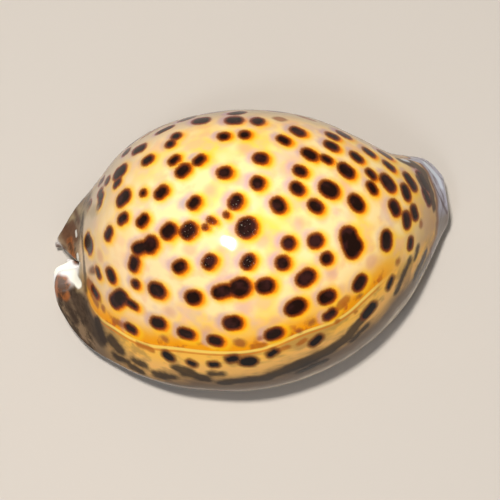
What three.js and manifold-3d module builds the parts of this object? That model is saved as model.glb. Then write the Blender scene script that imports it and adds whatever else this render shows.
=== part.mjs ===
// A tiger cowrie, the shell of a sea snail. It grew as one rolled wall, so it is one solid: hollow inside, with a
// long toothed slit underneath that runs out through a notch at each end.
// Millimetres. X runs from the rounder back end to the narrower front end, -Y is the side of the outer lip, +Y is
// the side of the inner lip, and +Z is the shell's back. It rests on z = 0, under the middle of its own box.
import * as THREE from "three";
import { LoftGeometry } from "three/addons/geometries/LoftGeometry.js";
import { mergeVertices } from "three/addons/utils/BufferGeometryUtils.js";
import Module from "manifold-3d";

// Driving dimensions
const LENGTH = 85;
const HALF = LENGTH / 2;
const DOME_WALL = 2.6;
const OUTER_MARGIN_WALL = 5.5;
const INNER_MARGIN_WALL = 3.6;
const OUTER_LIP_HEIGHT = 4.8;
const INNER_LIP_HEIGHT = 9.5;
const LIP_ROUNDING = 2.2;
const WORN_FLAT = 0.3;

// The slit's teeth
const TOOTH_PITCH = 2.9;
const OUTER_TEETH = 24;
const INNER_TEETH = 22;
const TOOTH_STANDOUT = 0.85;

// How finely the wall is drawn
const STATIONS = 42;
const STEPS_PER_QUARTER = 7;
const RIM = 0.9;

// A smooth curve through hand-picked [x, value] points.
function curve(points) {
  const xs = points.map((p) => p[0]);
  const values = points.map((p) => p[1]);
  const spline = new THREE.CubicInterpolant(xs, values, 1);
  return (x) => spline.evaluate(THREE.MathUtils.clamp(x, xs[0], xs.at(-1)))[0];
}

// Plan view: where the two sides, the crown and the slit's middle line lie, along the shell
const outerSide = curve([
  [-42.5, -0.6], [-41.8, -3.4], [-38.9, -9.9], [-32.2, -17.2], [-23, -23.6], [-13, -27.2],
  [-5, -28.6], [4, -28.2], [13, -25.9], [22, -21.3], [30, -14.6], [35.6, -7.6], [39.4, -2.1], [41.7, 1.2], [42.5, 3.0],
]);
const innerSide = curve([
  [-42.5, 13.0], [-40.5, 13.5], [-38, 14.9], [-35, 17.8], [-31, 20.7], [-24.6, 24.9], [-15.3, 27.9],
  [-4.3, 28.3], [6, 26.9], [16, 23.8], [25, 18.8], [30.5, 15.8], [35, 15.4], [39.4, 14.8], [41.7, 12], [42.5, 9.2],
]);
const crownLine = curve([[-42.5, 11], [-41, 9.5], [-38.7, 6.5], [-37, 4.6], [-33, 3.0], [-26, 2.4], [-12, 1], [14, 0.4], [30, 1.4], [42.5, 4.8]]);
const slitLine = curve([
  [-42.5, 10.2], [-38, 9.0], [-33, 6.4], [-27, 3.2], [-20, 0.8], [-10, -1.4], [2, -2.2], [14, -1.8], [26, -0.4], [34, 1.8], [42.5, 5.4],
]);
const slitHalfWidth = curve([[-42.5, 1.2], [-38, 1.3], [-32, 1.5], [-16, 1.65], [4, 1.75], [18, 1.85], [30, 1.95], [38, 2], [42.5, 1.9]]);

// Side view: how high the crown, the widest line and the base lie
const crownHeight = curve([
  [-42.5, 7.6], [-40, 9.4], [-37.6, 10.4], [-35.6, 13], [-34, 18.2], [-32, 24.8], [-28, 33.2], [-22, 40.4], [-14, 45.4],
  [-5, 47.4], [5, 46.7], [14, 43.6], [22, 38.8], [29, 32.2], [34, 25.2], [37.6, 18.4], [40, 13.2], [41.5, 10.4], [42.5, 8],
]);
const marginHeight = curve([[-42.5, 4.9], [-38, 6.2], [-30, 9], [-15, 12.4], [0, 13.5], [15, 12.4], [30, 9.2], [38, 6.6], [42.5, 5.6]]);
const baseHeight = curve([[-42.5, 2.4], [-38, 1.2], [-32, 0.3], [-26, 0], [0, 0], [26, 0], [33, 0.4], [38, 1.4], [41.5, 2.5], [42.5, 3.3]]);

// Roundness of the cross-section above the widest line: 2 is an ellipse, and less draws the dome in above a brim
const outerRoundness = curve([
  [-42.5, 1.9], [-38, 1.5], [-34, 1.25], [-30, 1.25], [-24, 1.38], [-15, 1.65], [-4, 1.9], [20, 2.05], [32, 1.85], [42.5, 1.8],
]);
const innerRoundness = curve([[-42.5, 1.9], [-38, 1.5], [-34, 1.3], [-30, 1.5], [-24, 1.85], [-12, 2.05], [20, 2.1], [32, 1.9], [42.5, 1.8]]);
const BASE_ROUNDNESS = 2.7;

// How far the wall's rim is drawn back from each tip, by the bearing round the section: -90 is the slit's outer edge,
// 0 the outer side, 90 the crown, 180 the inner side and 270 the slit's inner edge
const BACK_REACH = 14;
const backRim = curve([
  [-90, 3.4], [-80, 1.6], [-70, 0.3], [-40, 0], [0, 0], [30, 0.2], [45, 1.0], [56, 3.0], [67, 5.1], [78, 6.0], [90, 6.2],
  [101, 4.9], [112, 3.5], [125, 2.6], [140, 2.4], [160, 3.4], [180, 4.6], [225, 3.0], [255, 1.8], [270, 1.6],
]);
const FRONT_REACH = 8;
const frontRim = curve([[-90, 1.6], [-60, 0.5], [0, 0.3], [90, 0.8], [180, 0], [240, 0.3], [270, 1.6]]);

// Where the hollow's outer side lies in the back canal, whose wall slopes away from the slit
const canalOuterSide = curve([[-42.5, 4.8], [-41, 3.2], [-38.7, 0.4], [-36, -3.0], [-32, -9], [-27, -15]]);

const { smoothstep, lerp, degToRad } = THREE.MathUtils;

// How much of the wall's full hollow there is: none in the two end canals, all of it in the body
const hollowness = (x) => smoothstep(x, -38, -27) * (1 - smoothstep(x, 29, 39));

// A point at angle a (degrees) on one quarter of a rounded section, from its middle (y0, z0) to its reach (y1, z1).
function quarter(a, y0, z0, y1, z1, roundness) {
  const across = Math.abs(Math.cos(degToRad(a))) ** (2 / roundness);
  const up = Math.abs(Math.sin(degToRad(a))) ** (2 / roundness);
  return [lerp(y0, y1, across), lerp(z0, z1, up)];
}

// The bearings of a section's points, from one edge of the slit over the crown to the other.
const BEARINGS = [-90, -90];
for (let i = 0; i <= 4 * STEPS_PER_QUARTER; i++) BEARINGS.push(-90 + (i * 90) / STEPS_PER_QUARTER);
BEARINGS.push(270, 270);
const LAST = BEARINGS.length - 1;

// The outer skin's point with index k at x: its y and z.
function outside(x, k) {
  const angle = BEARINGS[k];
  const outerEdge = slitLine(x) - slitHalfWidth(x);
  const innerEdge = slitLine(x) + slitHalfWidth(x);
  const [top, base, margin] = [crownHeight(x), baseHeight(x), marginHeight(x)];
  const rounding = Math.min(LIP_ROUNDING, (top - base) / 4, (outerEdge - outerSide(x)) / 2, (innerSide(x) - innerEdge) / 2);
  if (k < 2) return k ? [outerEdge - 0.3 * rounding, base + 0.3 * rounding] : [outerEdge, base + rounding];
  if (k > LAST - 2) return k < LAST ? [innerEdge + 0.3 * rounding, base + 0.3 * rounding] : [innerEdge, base + rounding];
  if (angle < 0) return quarter(angle, outerEdge - rounding, margin, outerSide(x), base, BASE_ROUNDNESS);
  if (angle < 90) return quarter(angle, crownLine(x), margin, outerSide(x), top, outerRoundness(x));
  if (angle <= 180) return quarter(angle, crownLine(x), margin, innerSide(x), top, innerRoundness(x));
  return quarter(angle, innerEdge + rounding, margin, innerSide(x), base, BASE_ROUNDNESS);
}

// The inner skin's point behind it.
function inside(x, k) {
  const angle = BEARINGS[k];
  const hollow = hollowness(x);
  const outerEdge = slitLine(x) - slitHalfWidth(x);
  const innerEdge = slitLine(x) + slitHalfWidth(x);
  const [top, base, margin] = [crownHeight(x), baseHeight(x), marginHeight(x)];
  const lip = base + Math.min(LIP_ROUNDING, (top - base) / 4);
  const canalTop = Math.min(base + 5.8, top - 1.9);
  const roof = lerp(canalTop, top - DOME_WALL, hollow);
  const outerFloor = lerp(lerp(lip, canalTop, 0.3), base + OUTER_LIP_HEIGHT, hollow);
  const innerFloor = lerp(lerp(lip, canalTop, 0.4), base + INNER_LIP_HEIGHT, hollow);
  const widest = lerp(lerp(lip, canalTop, 0.8), margin + 2.5, hollow);
  const outerReach = x < -27 ? Math.min(canalOuterSide(x), outerEdge - 1) : lerp(outerEdge - 0.6, outerSide(x) + OUTER_MARGIN_WALL, hollow);
  const innerReach = lerp(innerEdge + 0.5, innerSide(x) - INNER_MARGIN_WALL, hollow);
  const crown = lerp(slitLine(x) - 0.5, crownLine(x), hollow);
  if (k < 2) return [outerEdge - 0.15 * k, lerp(lip, outerFloor, 0.3 + 0.35 * k)];
  if (k > LAST - 2) return [innerEdge + 0.15 * (LAST - k), lerp(lip, innerFloor, 0.3 + 0.35 * (LAST - k))];
  if (angle < 0) return quarter(angle, outerEdge - 0.4, widest, outerReach, outerFloor, 2.2);
  if (angle < 90) return quarter(angle, crown, widest, outerReach, roof, outerRoundness(x));
  if (angle <= 180) return quarter(angle, crown, widest, innerReach, roof, innerRoundness(x));
  return quarter(angle, innerEdge + 0.4, widest, innerReach, innerFloor, 2);
}

// The closed section of the wall at a station: the outer skin, then back along the inner skin. pinch brings the two
// skins together, past the station by push, and makes the rim.
function section(station, pinch = 0, push = 0) {
  const ring = { outer: [], inner: [] };
  for (let k = 0; k <= LAST; k++) {
    const back = backRim(BEARINGS[k]) * (1 - smoothstep(station, -HALF, -HALF + BACK_REACH));
    const front = frontRim(BEARINGS[k]) * (1 - smoothstep(-station, -HALF, -HALF + FRONT_REACH));
    const x = station + back - front;
    const [outer, inner] = [outside, inside].map((skin) => new THREE.Vector3(x + push, ...skin(x, k)));
    for (const point of [outer, inner]) point.z = Math.max(0, point.z - WORN_FLAT);
    const middle = outer.clone().lerp(inner, 0.5);
    ring.outer.push(outer.lerp(middle, pinch));
    ring.inner.push(inner.lerp(middle, pinch));
  }
  return [...ring.inner, ...ring.outer.reverse()];
}

// Stations along the shell, closer together near the ends, where the shape turns fastest. The two skins are pinched
// together past the first and the last station, and make the rims.
const sections = [section(RIM - HALF, 1, -RIM), section(RIM - HALF, 0.45, -0.7 * RIM)];
for (let i = 0; i <= STATIONS; i++) {
  const t = (2 * i) / STATIONS - 1;
  sections.push(section((HALF - RIM) * (0.45 * Math.sin((t * Math.PI) / 2) + 0.55 * t)));
}
sections.push(section(HALF - RIM, 0.45, 0.7 * RIM), section(HALF - RIM, 1, RIM));

const wasm = await Module();
wasm.setup();

// A closed three.js geometry as a solid that can be joined to others. Corners in one place become one, and the
// triangles that this flattens go.
function solid(geometry) {
  const bare = new THREE.BufferGeometry().setAttribute("position", geometry.getAttribute("position"));
  bare.setIndex(geometry.index);
  const merged = mergeVertices(bare, 1e-4);
  const triangles = [];
  for (let i = 0; i < merged.index.count; i += 3) {
    const [a, b, c] = merged.index.array.slice(i, i + 3);
    if (a !== b && b !== c && c !== a) triangles.push(a, b, c);
  }
  return new wasm.Manifold(
    new wasm.Mesh({ numProp: 3, vertProperties: merged.attributes.position.array, triVerts: new Uint32Array(triangles) }),
  );
}

const wall = solid(new LoftGeometry(sections));

// One tooth: a low ridge across the lip's edge, from the base into the slit. side is -1 on the outer lip, 1 on the inner.
function tooth(x, side, reach, width) {
  const edge = slitLine(x) + side * slitHalfWidth(x);
  const shape = new THREE.SphereGeometry(1, 8, 6);
  shape.scale(width / 2, reach, 1.9);
  shape.translate(x, edge + side * (reach - TOOTH_STANDOUT), baseHeight(x) + 1.95);
  return solid(shape);
}

const teeth = [];
for (let i = 0; i < OUTER_TEETH; i++) {
  const x = (i - (OUTER_TEETH - 1) / 2) * TOOTH_PITCH + 1;
  teeth.push(tooth(x, -1, 3.0, 1.5));
}
for (let i = 0; i < INNER_TEETH; i++) {
  const x = (i - (INNER_TEETH - 1) / 2) * TOOTH_PITCH + 2.4;
  teeth.push(tooth(x, 1, 2.3, 1.2));
}
const shellSolid = wasm.Manifold.union([wall, ...teeth]);
const { vertProperties, triVerts } = shellSolid.getMesh();
const shellGeometry = new THREE.BufferGeometry()
  .setAttribute("position", new THREE.BufferAttribute(vertProperties, 3))
  .setIndex(new THREE.BufferAttribute(triVerts, 1));

// Stand it on z = 0 with the middle of its box over the origin.
shellGeometry.computeBoundingBox();
const { min, max } = shellGeometry.boundingBox;
shellGeometry.translate(-(min.x + max.x) / 2, -(min.y + max.y) / 2, -min.z);
shellGeometry.computeVertexNormals();

const porcelain = new THREE.MeshStandardMaterial({ color: 0xe6c070, roughness: 0.15, metalness: 0 });
const shell = new THREE.Mesh(shellGeometry, porcelain);
shell.name = "shell";

const cowrie = new THREE.Group();
cowrie.add(shell);
export default cowrie;
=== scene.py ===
# %% [markdown]
# A tiger cowrie, the glossy spotted shell of a sea snail, seen from almost straight above on a plain
# pale floor. The imported model gives the fixed frame: its place, its size and the one body that
# everything rides on. We load it first, because the finer shell that we make here has to stay inside it.

import bmesh
import bpy
import numpy as np
from mathutils import Matrix, Vector
from mathutils.bvhtree import BVHTree


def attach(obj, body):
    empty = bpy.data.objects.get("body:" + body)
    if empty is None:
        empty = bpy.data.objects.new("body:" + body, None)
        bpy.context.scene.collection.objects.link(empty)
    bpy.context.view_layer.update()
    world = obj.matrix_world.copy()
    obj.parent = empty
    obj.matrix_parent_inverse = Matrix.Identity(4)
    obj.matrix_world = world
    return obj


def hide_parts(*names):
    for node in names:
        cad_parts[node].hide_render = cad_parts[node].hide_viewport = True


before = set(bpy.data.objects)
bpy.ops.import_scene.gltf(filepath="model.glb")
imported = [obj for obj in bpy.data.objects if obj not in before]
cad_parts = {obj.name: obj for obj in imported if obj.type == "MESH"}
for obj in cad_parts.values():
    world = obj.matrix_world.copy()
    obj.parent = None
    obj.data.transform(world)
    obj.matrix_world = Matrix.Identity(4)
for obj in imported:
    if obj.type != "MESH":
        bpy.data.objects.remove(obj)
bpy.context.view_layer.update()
MM = 0.001

# %% [markdown]
# The camera looks down on the shell from the side of its outer lip, steeply but not quite from above.
# It is turned a little to the left of the shell's length, and it stands about five shell lengths away,
# which is near enough to make the crown look larger than the base. A long lens then fills the picture.
# We work the camera's three directions out here, because the spots are put on the shell along its lines
# of sight.

# %% The camera
PICTURE = 500  # pixels across
CAMERA_AZIMUTH = -10.4
CAMERA_ELEVATION = 74.0
CAMERA_DISTANCE = 420 * MM
PIXELS_PER_RADIAN = 2070.0
SENSOR = 36.0
LOOKED_AT = Vector((0, 0, 20 * MM))  # the middle of the shell, which shows at LOOKED_AT_PIXEL
LOOKED_AT_PIXEL = (255.5, 241.0)

azimuth, elevation = np.radians(CAMERA_AZIMUTH), np.radians(CAMERA_ELEVATION)
towards_camera = Vector((
    np.sin(azimuth) * np.cos(elevation),
    -np.cos(azimuth) * np.cos(elevation),
    np.sin(elevation),
))
picture_right = Vector((0, 0, 1)).cross(towards_camera).normalized()
picture_up = towards_camera.cross(picture_right)
pixel_at_shell = CAMERA_DISTANCE / PIXELS_PER_RADIAN
aim = (
    LOOKED_AT
    - picture_right * (LOOKED_AT_PIXEL[0] - PICTURE / 2) * pixel_at_shell
    - picture_up * (PICTURE / 2 - LOOKED_AT_PIXEL[1]) * pixel_at_shell
)
eye = aim + towards_camera * CAMERA_DISTANCE

bpy.ops.object.select_all(action="DESELECT")
bpy.ops.object.camera_add(location=eye)
camera = bpy.context.object
camera.name = "camera"
camera.rotation_euler = Matrix((picture_right, picture_up, towards_camera)).transposed().to_euler()
camera.data.sensor_width = SENSOR
camera.data.lens = PIXELS_PER_RADIAN / PICTURE * SENSOR
bpy.context.scene.camera = camera
print("camera at", [round(v, 3) for v in eye], "with a", round(camera.data.lens), "mm lens")


def sight_line(pixel):
    """The direction in which the camera sees a pixel of the picture."""
    across = (pixel[0] - PICTURE / 2) / PIXELS_PER_RADIAN
    up = (PICTURE / 2 - pixel[1]) / PIXELS_PER_RADIAN
    return (picture_right * across + picture_up * up - towards_camera).normalized()


# %% [markdown]
# A cowrie is one rolled wall. Its lines are smooth, so each of them is a curve through a few places
# read off the shell: where its two sides, its crown and its slit lie in plan, and how high they lie
# from the side. These are the curves that the solid was built from, so the fine shell fits it. Only the
# near corner of the front rim is rounded off a little more here. Every table runs from the rounder back
# end at x = -42.5 mm to the narrower front end at 42.5 mm.

# %% The lines of the shell
LENGTH = 85.0
HALF = LENGTH / 2
DOME_WALL = 2.6
OUTER_MARGIN_WALL = 5.5
INNER_MARGIN_WALL = 3.6
OUTER_LIP_HEIGHT = 4.8
INNER_LIP_HEIGHT = 9.5
LIP_ROUNDING = 2.2
WORN_FLAT = 0.3
RIM = 0.9
BASE_ROUNDNESS = 2.7
BACK_REACH = 14.0
FRONT_REACH = 8.0
HOLLOW_FROM = (-38, -27)  # where the back canal widens into the hollow
HOLLOW_TO = (29, 39)  # where the hollow narrows into the front canal
CANAL_HEIGHT = 5.8
CANAL_ROOF_WALL = 1.9
CANAL_OUTER_FLOOR, CANAL_INNER_FLOOR, CANAL_WIDEST = 0.3, 0.4, 0.8  # shares of the height from lip to roof
CANAL_OUTER_REACH, CANAL_INNER_REACH, CANAL_SHIFT = 0.6, 0.5, 0.5  # mm out from the slit
LEAST_CANAL_REACH = 1.0
HOLLOW_ABOVE_MARGIN = 2.5
HOLLOW_BESIDE_SLIT = 0.4
HOLLOW_OUTER_ROUNDNESS, HOLLOW_INNER_ROUNDNESS = 2.2, 2.0
LIP_LEAN = 0.15  # mm that the slit's face leans back over each half of the lip's turn
LIP_FIRST_RISE, LIP_RISE = 0.3, 0.35  # shares of the way up to the hollow's floor


def curve(points):
    """A smooth curve through given (x, value) points. Its lean at each is the mean slope beside it."""
    xs, values = np.array(points, float).T
    slopes = np.diff(values) / np.diff(xs)
    leans = np.concatenate([slopes[:1], (slopes[:-1] + slopes[1:]) / 2, slopes[-1:]])

    def at(x):
        x = np.clip(x, xs[0], xs[-1])
        i = np.clip(np.searchsorted(xs, x, side="right") - 1, 0, len(xs) - 2)
        span = xs[i + 1] - xs[i]
        t = (x - xs[i]) / span
        start = (1 + 2 * t) * (1 - t) ** 2 * values[i] + t * (1 - t) ** 2 * span * leans[i]
        return start + t * t * (3 - 2 * t) * values[i + 1] + t * t * (t - 1) * span * leans[i + 1]

    return at


outer_side = curve([
    (-42.5, -0.6), (-41.8, -3.4), (-38.9, -9.9), (-32.2, -17.2), (-23, -23.6), (-13, -27.2),
    (-5, -28.6), (4, -28.2), (13, -25.9), (22, -21.3), (30, -14.6), (35.6, -7.6), (39.4, -2.1),
    (41.7, 1.2), (42.5, 3.0),
])
inner_side = curve([
    (-42.5, 13.0), (-40.5, 13.5), (-38, 14.9), (-35, 17.8), (-31, 20.7), (-24.6, 24.9), (-15.3, 27.9),
    (-4.3, 28.3), (6, 26.9), (16, 23.8), (25, 18.8), (30.5, 15.8), (35, 15.4), (39.4, 14.8), (41.7, 12),
    (42.5, 9.2),
])
crown_line = curve([
    (-42.5, 11), (-41, 9.5), (-38.7, 6.5), (-37, 4.6), (-33, 3.0), (-26, 2.4), (-12, 1), (14, 0.4),
    (30, 1.4), (42.5, 4.8),
])
slit_line = curve([
    (-42.5, 10.2), (-38, 9.0), (-33, 6.4), (-27, 3.2), (-20, 0.8), (-10, -1.4), (2, -2.2), (14, -1.8),
    (26, -0.4), (34, 1.8), (42.5, 5.4),
])
slit_half_width = curve([
    (-42.5, 1.2), (-38, 1.3), (-32, 1.5), (-16, 1.65), (4, 1.75), (18, 1.85), (30, 1.95), (38, 2),
    (42.5, 1.9),
])
crown_height = curve([
    (-42.5, 7.6), (-40, 9.4), (-37.6, 10.4), (-35.6, 13), (-34, 18.2), (-32, 24.8), (-28, 33.2),
    (-22, 40.4), (-14, 45.4), (-5, 47.4), (5, 46.7), (14, 43.6), (22, 38.8), (29, 32.2), (34, 25.2),
    (37.6, 18.4), (40, 13.2), (41.5, 10.4), (42.5, 8),
])
margin_height = curve([
    (-42.5, 4.9), (-38, 6.2), (-30, 9), (-15, 12.4), (0, 13.5), (15, 12.4), (30, 9.2), (38, 6.6),
    (42.5, 5.6),
])
base_height = curve([
    (-42.5, 2.4), (-38, 1.2), (-32, 0.3), (-26, 0), (0, 0), (26, 0), (33, 0.4), (38, 1.4), (41.5, 2.5),
    (42.5, 3.3),
])
outer_roundness = curve([
    (-42.5, 1.9), (-38, 1.5), (-34, 1.25), (-30, 1.25), (-24, 1.38), (-15, 1.65), (-4, 1.9), (20, 2.05),
    (32, 1.85), (42.5, 1.8),
])
inner_roundness = curve([
    (-42.5, 1.9), (-38, 1.5), (-34, 1.3), (-30, 1.5), (-24, 1.85), (-12, 2.05), (20, 2.1), (32, 1.9),
    (42.5, 1.8),
])
canal_outer_side = curve([(-42.5, 4.8), (-41, 3.2), (-38.7, 0.4), (-36, -3.0), (-32, -9), (-27, -15)])

# How far the rim is drawn back from each tip, by the bearing round the section: -90 is the slit's outer edge,
# 0 the outer side, 90 the crown, 180 the inner side and 270 the slit's inner edge
back_rim = curve([
    (-90, 3.4), (-80, 1.6), (-70, 0.3), (-40, 0), (0, 0), (30, 0.2), (45, 1.0), (56, 3.0), (67, 5.1),
    (78, 6.0), (90, 6.2), (101, 4.9), (112, 3.5), (125, 2.6), (140, 2.4), (160, 3.4), (180, 4.6),
    (225, 3.0), (255, 1.8), (270, 1.6),
])
front_rim = curve([
    (-90, 2.0), (-60, 1.4), (0, 1.2), (45, 0.9), (90, 0.8), (180, 0), (240, 0.3), (270, 1.6),
])
print("crown", float(crown_height(-5.0)), "mm high at x = -5 mm")

# %% [markdown]
# Across the shell, each section is four quarters of a rounded curve, like the superellipses that a
# draughtsman draws: two over the dome, and two flatter ones below the widest line. The hollow inside
# has quarters of its own, and it narrows to a canal at each end. These helpers give a point of either
# skin for any place along the shell and any bearing round it, for whole rows of points at once.

# %% The two skins of the wall


def smooth_step(x, low, high):
    """0 below low, 1 above high, and a soft S between."""
    t = np.clip((x - low) / (high - low), 0, 1)
    return t * t * (3 - 2 * t)


def mix(a, b, share):
    return a + (b - a) * share


def hollowness(x):
    """1 along the open hollow and 0 in the canal at either end."""
    return smooth_step(x, *HOLLOW_FROM) * (1 - smooth_step(x, *HOLLOW_TO))


def quarter(bearing, y0, z0, y1, z1, roundness):
    """A point at a bearing on one quarter of a section, from its middle (y0, z0) to its reach (y1, z1)."""
    across = np.abs(np.cos(np.radians(bearing))) ** (2 / roundness)
    up = np.abs(np.sin(np.radians(bearing))) ** (2 / roundness)
    return np.stack([mix(y0, y1, across), mix(z0, z1, up)])


def joined(bearing, below_outer, above_outer, above_inner, below_inner):
    """Picks each point from the quarter that its bearing lies in."""
    pair = np.where(bearing < 0, below_outer, above_outer)
    pair = np.where(bearing > 90, above_inner, pair)
    return np.where(bearing > 180, below_inner, pair)


def outside(x, bearing, lip):
    """The outer skin's y and z. lip is 0 on the quarters and grows to 2 on the way round it into the slit."""
    side, far_side, middle = outer_side(x), inner_side(x), crown_line(x)
    outer_edge, inner_edge = slit_line(x) - slit_half_width(x), slit_line(x) + slit_half_width(x)
    top, base, margin = crown_height(x), base_height(x), margin_height(x)
    rounding = np.minimum(LIP_ROUNDING, (top - base) / 4)
    rounding = np.minimum(rounding, np.minimum((outer_edge - side) / 2, (far_side - inner_edge) / 2))
    pair = joined(
        bearing,
        quarter(bearing, outer_edge - rounding, margin, side, base, BASE_ROUNDNESS),
        quarter(bearing, middle, margin, side, top, outer_roundness(x)),
        quarter(bearing, middle, margin, far_side, top, inner_roundness(x)),
        quarter(bearing, inner_edge + rounding, margin, far_side, base, BASE_ROUNDNESS),
    )
    turn = np.clip(lip, 0, 2) * np.pi / 4  # a quarter turn from the base up into the slit
    from_edge, rise = rounding * (1 - np.sin(turn)), rounding * (1 - np.cos(turn))
    round_outer = np.stack([outer_edge - from_edge, base + rise])
    round_inner = np.stack([inner_edge + from_edge, base + rise])
    return np.where(lip > 0, np.where(bearing < 0, round_outer, round_inner), pair)


def inside(x, bearing, lip):
    """The inner skin's y and z behind it."""
    hollow = hollowness(x)
    outer_edge, inner_edge = slit_line(x) - slit_half_width(x), slit_line(x) + slit_half_width(x)
    top, base, margin = crown_height(x), base_height(x), margin_height(x)
    edge = base + np.minimum(LIP_ROUNDING, (top - base) / 4)
    canal_top = np.minimum(base + CANAL_HEIGHT, top - CANAL_ROOF_WALL)
    roof = mix(canal_top, top - DOME_WALL, hollow)
    outer_floor = mix(mix(edge, canal_top, CANAL_OUTER_FLOOR), base + OUTER_LIP_HEIGHT, hollow)
    inner_floor = mix(mix(edge, canal_top, CANAL_INNER_FLOOR), base + INNER_LIP_HEIGHT, hollow)
    widest = mix(mix(edge, canal_top, CANAL_WIDEST), margin + HOLLOW_ABOVE_MARGIN, hollow)
    in_canal = np.minimum(canal_outer_side(x), outer_edge - LEAST_CANAL_REACH)
    in_body = mix(outer_edge - CANAL_OUTER_REACH, outer_side(x) + OUTER_MARGIN_WALL, hollow)
    outer_reach = np.where(x < HOLLOW_FROM[1], in_canal, in_body)
    inner_reach = mix(inner_edge + CANAL_INNER_REACH, inner_side(x) - INNER_MARGIN_WALL, hollow)
    middle = mix(slit_line(x) - CANAL_SHIFT, crown_line(x), hollow)
    floor_from, floor_to = outer_edge - HOLLOW_BESIDE_SLIT, inner_edge + HOLLOW_BESIDE_SLIT
    pair = joined(
        bearing,
        quarter(bearing, floor_from, widest, outer_reach, outer_floor, HOLLOW_OUTER_ROUNDNESS),
        quarter(bearing, middle, widest, outer_reach, roof, outer_roundness(x)),
        quarter(bearing, middle, widest, inner_reach, roof, inner_roundness(x)),
        quarter(bearing, floor_to, widest, inner_reach, inner_floor, HOLLOW_INNER_ROUNDNESS),
    )
    up = LIP_FIRST_RISE + LIP_RISE * (2 - lip)
    lip_outer = np.stack([outer_edge - LIP_LEAN * (2 - lip), mix(edge, outer_floor, up)])
    lip_inner = np.stack([inner_edge + LIP_LEAN * (2 - lip), mix(edge, inner_floor, up)])
    return np.where(lip > 0, np.where(bearing < 0, lip_outer, lip_inner), pair)


middle_section = outside(np.array([0.0]), np.array([0.0]), np.array([0.0]))
print("at x = 0 the outer side lies at y and z", middle_section.ravel().round(1), "mm")

# %% [markdown]
# The shell itself starts as a flat grid, as a sheet of clay would. Its rows become the stations along
# the shell, and its columns go once round the wall: back along the inner skin, then forward along the
# outer one. At both ends the two skins are pinched together, which makes the thin rims of the canals.
# We roll the sheet up by moving its vertices, because no operator of edit mode draws a wall like this,
# and then let a subdivision round it off.

# %% Stations along the shell and bearings round the wall
STATIONS = 108
DOME_STEPS = 70
BASE_STEPS = 14
LIP_TURN = np.array([2.0, 1.5, 1.0, 0.5])
CROWDING = 0.3  # the share of the spacing that draws the stations together at both ends
RIM_PINCH, RIM_PUSH = 0.45, 0.7  # of the full pinch and push, on the way to a rim's edge

along = np.linspace(-1, 1, STATIONS)
body_stations = (HALF - RIM) * (CROWDING * np.sin(along * np.pi / 2) + (1 - CROWDING) * along)
station = np.concatenate([[RIM - HALF] * 2, body_stations, [HALF - RIM] * 2])
pinch = np.concatenate([[1, RIM_PINCH], np.zeros(STATIONS), [RIM_PINCH, 1]])
push = RIM * np.concatenate([[-1, -RIM_PUSH], np.zeros(STATIONS), [RIM_PUSH, 1]])

over = np.concatenate([
    np.linspace(-90, 0, BASE_STEPS, endpoint=False),
    np.linspace(0, 180, DOME_STEPS, endpoint=False),
    np.linspace(180, 270, BASE_STEPS + 1),
])
bearings = np.concatenate([[-90.0] * len(LIP_TURN), over, [270.0] * len(LIP_TURN)])
lips = np.concatenate([LIP_TURN, np.zeros(len(over)), LIP_TURN[::-1]])
ring_bearing = np.concatenate([bearings, bearings[::-1], bearings[:1]])
ring_lip = np.concatenate([lips, lips[::-1], lips[:1]])
ring_is_outer = np.concatenate([np.zeros(len(bearings)), np.ones(len(bearings)), [0]])
print(len(station), "stations and", len(ring_bearing) - 1, "points round each")

# %% [markdown]
# Now the sheet is rolled. Each vertex of the grid knows its row and its column, and so its station and
# its bearing, and the formulas say where it belongs. We keep the bearing and the skin of every vertex
# on the mesh, because the brush and the paint ask for them later.

# %% Rolling the sheet up into a shell
OUTER_SHARE = 0.99  # a vertex with more of the outer skin than this is on the outside


def coordinates(mesh):
    flat = np.empty(len(mesh.vertices) * 3)
    mesh.vertices.foreach_get("co", flat)
    return flat.reshape(-1, 3)


def place(mesh, points):
    mesh.vertices.foreach_set("co", points.ravel())
    mesh.update()


def keep(mesh, name, values):
    """Writes one number for each vertex, which the finish can read by its name."""
    layer = mesh.attributes.get(name) or mesh.attributes.new(name, "FLOAT", "POINT")
    layer.data.foreach_set("value", np.asarray(values, dtype=np.float32))


def kept(mesh, name):
    values = np.empty(len(mesh.vertices), dtype=np.float32)
    mesh.attributes[name].data.foreach_get("value", values)
    return values


bpy.ops.object.select_all(action="DESELECT")
bpy.ops.mesh.primitive_grid_add(x_subdivisions=len(station) - 1, y_subdivisions=len(ring_bearing) - 1, size=2)
shell = bpy.context.object
shell.name = "glossy_shell"
flat = coordinates(shell.data)
row = np.rint((flat[:, 0] + 1) / 2 * (len(station) - 1)).astype(int)
column = np.rint((flat[:, 1] + 1) / 2 * (len(ring_bearing) - 1)).astype(int)

bearing, lip, is_outer = ring_bearing[column], ring_lip[column], ring_is_outer[column]
drawn_back = back_rim(bearing) * (1 - smooth_step(station[row], -HALF, -HALF + BACK_REACH))
drawn_in = front_rim(bearing) * (1 - smooth_step(-station[row], -HALF, -HALF + FRONT_REACH))
x = station[row] + drawn_back - drawn_in
outer_pair, inner_pair = outside(x, bearing, lip), inside(x, bearing, lip)
own = np.where(is_outer, outer_pair, inner_pair)
own = mix(own, (outer_pair + inner_pair) / 2, pinch[row])
rolled = np.stack([x + push[row], own[0], np.maximum(0, own[1] - WORN_FLAT)], axis=1)
place(shell.data, rolled * MM)
keep(shell.data, "bearing", bearing)
keep(shell.data, "outer_skin", mix(is_outer, 0.5, pinch[row]))
print("rolled up", len(rolled), "vertices")

# %% [markdown]
# The two long edges of the sheet meet inside the lip, so merging what lies in one place closes the
# seam, as glue would. One level of subdivision rounds the facets off. The sections come to a faint
# ridge along the crown near the back end, so the crown is brushed smooth there. Then the shell is
# centred and set down on the floor.

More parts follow.
